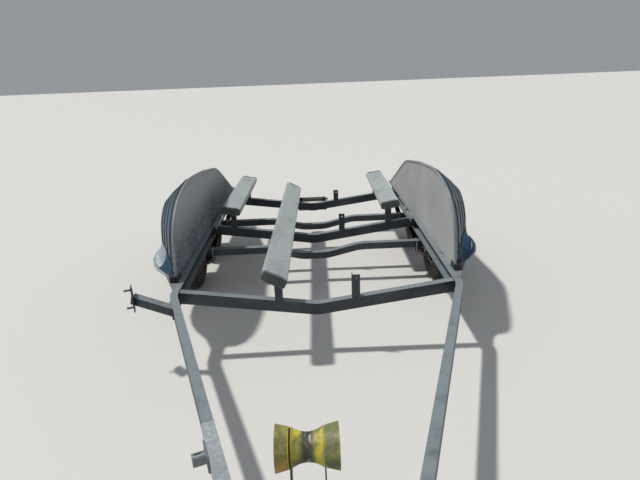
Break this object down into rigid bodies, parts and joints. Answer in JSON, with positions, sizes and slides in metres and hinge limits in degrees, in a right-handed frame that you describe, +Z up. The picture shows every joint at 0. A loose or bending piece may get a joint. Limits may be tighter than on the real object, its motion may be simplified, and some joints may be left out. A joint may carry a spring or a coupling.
{
  "type": "boat trailer",
  "caption": "Tandem-axle boat trailer with V-shaped crossmembers, carpeted bunks, full fenders, bow and keel rollers, a winch and a tongue jack.",
  "frame": {"origin": "on the ground, at the middle of the trailer's overall length and width", "axes": "+X to the right, +Y from the hitch to the tail, +Z up"},
  "size_m": [2.41, 5.4507, 1.015],
  "materials": {
    "frame_paint": "worn satin dark blue-grey paint",
    "bare_zinc": "dull weathered zinc",
    "spring_steel": "dark, lightly rusted",
    "wheel_paint": "dusty light grey paint",
    "tyre": "matte",
    "fender_paint": "glossy dark blue",
    "fender_inner_paint": "rough, faded and dusty",
    "plate_paint": "dusty",
    "bunk_carpet": "worn grey carpet",
    "roller_plastic": "stained yellow-green",
    "black_rubber": "matte",
    "lamp_lens": "red lens"
  },
  "bodies": {
    "frame": {"left_frame_rail": "frame_paint", "right_frame_rail": "frame_paint", "front_crossmember": "frame_paint", "middle_crossmember": "frame_paint", "rear_crossmember": "frame_paint", "tongue_sleeve": "bare_zinc", "side_jack_stub": "bare_zinc", "tongue_plate": "frame_paint", "coupler": "frame_paint", "coupler_latch": "bare_zinc", "jack_tube": "bare_zinc", "jack_crank": "bare_zinc", "winch_stand": "frame_paint", "winch_frame": "bare_zinc", "winch_drum": "bare_zinc", "winch_crank": "bare_zinc", "bow_roller_bracket": "frame_paint", "keel_roller_bracket": "frame_paint", "front_axle": "frame_paint", "rear_axle": "frame_paint", "left_leaf_springs": "spring_steel", "left_spring_hangers": "frame_paint", "right_leaf_springs": "spring_steel", "right_spring_hangers": "frame_paint", "left_fender_panel": "fender_inner_paint", "left_fender_shell": "fender_paint", "left_fender_plate": "plate_paint", "right_fender_panel": "fender_inner_paint", "right_fender_shell": "fender_paint", "right_fender_plate": "plate_paint", "centre_bunk": "bunk_carpet", "left_bunk": "bunk_carpet", "right_bunk": "bunk_carpet", "centre_bunk_posts": "frame_paint", "bare_bunk_posts": "frame_paint", "left_bunk_posts": "frame_paint", "right_bunk_posts": "frame_paint", "spare_wheel_carrier": "frame_paint", "left_tail_lamp": "lamp_lens", "right_tail_lamp": "lamp_lens"},
    "left_front_wheel_assembly": {"left_front_wheel": "wheel_paint", "left_front_tyre": "tyre"},
    "left_rear_wheel_assembly": {"left_rear_wheel": "wheel_paint", "left_rear_tyre": "tyre"},
    "right_front_wheel_assembly": {"right_front_wheel": "wheel_paint", "right_front_tyre": "tyre"},
    "right_rear_wheel_assembly": {"right_rear_wheel": "wheel_paint", "right_rear_tyre": "tyre"},
    "bow_roller_body": {"bow_roller": "roller_plastic"},
    "keel_roller_body": {"keel_roller": "black_rubber"},
    "jack_leg_body": {"jack_leg": "bare_zinc"}
  },
  "joints": [
    {"name": "left_front_wheel_spin", "type": "hinge", "parent": "frame", "child": "left_front_wheel_assembly", "pos_m": [-1.05, 1.047, 0.3], "axis": [1, 0, 0], "continuous": true},
    {"name": "left_rear_wheel_spin", "type": "hinge", "parent": "frame", "child": "left_rear_wheel_assembly", "pos_m": [-1.05, 1.841, 0.3], "axis": [1, 0, 0], "continuous": true},
    {"name": "right_front_wheel_spin", "type": "hinge", "parent": "frame", "child": "right_front_wheel_assembly", "pos_m": [1.05, 1.047, 0.3], "axis": [1, 0, 0], "continuous": true},
    {"name": "right_rear_wheel_spin", "type": "hinge", "parent": "frame", "child": "right_rear_wheel_assembly", "pos_m": [1.05, 1.841, 0.3], "axis": [1, 0, 0], "continuous": true},
    {"name": "bow_roller_spin", "type": "hinge", "parent": "frame", "child": "bow_roller_body", "pos_m": [-0.042, -1.96, 0.965], "axis": [1, 0, 0], "continuous": true},
    {"name": "keel_roller_spin", "type": "hinge", "parent": "frame", "child": "keel_roller_body", "pos_m": [0, 2.268, 0.4], "axis": [1, 0, 0], "continuous": true},
    {"name": "jack_leg_slide", "type": "slide", "parent": "frame", "child": "jack_leg_body", "axis": [0, 0, 1], "range_m": [0, 0.25]}
  ]
}
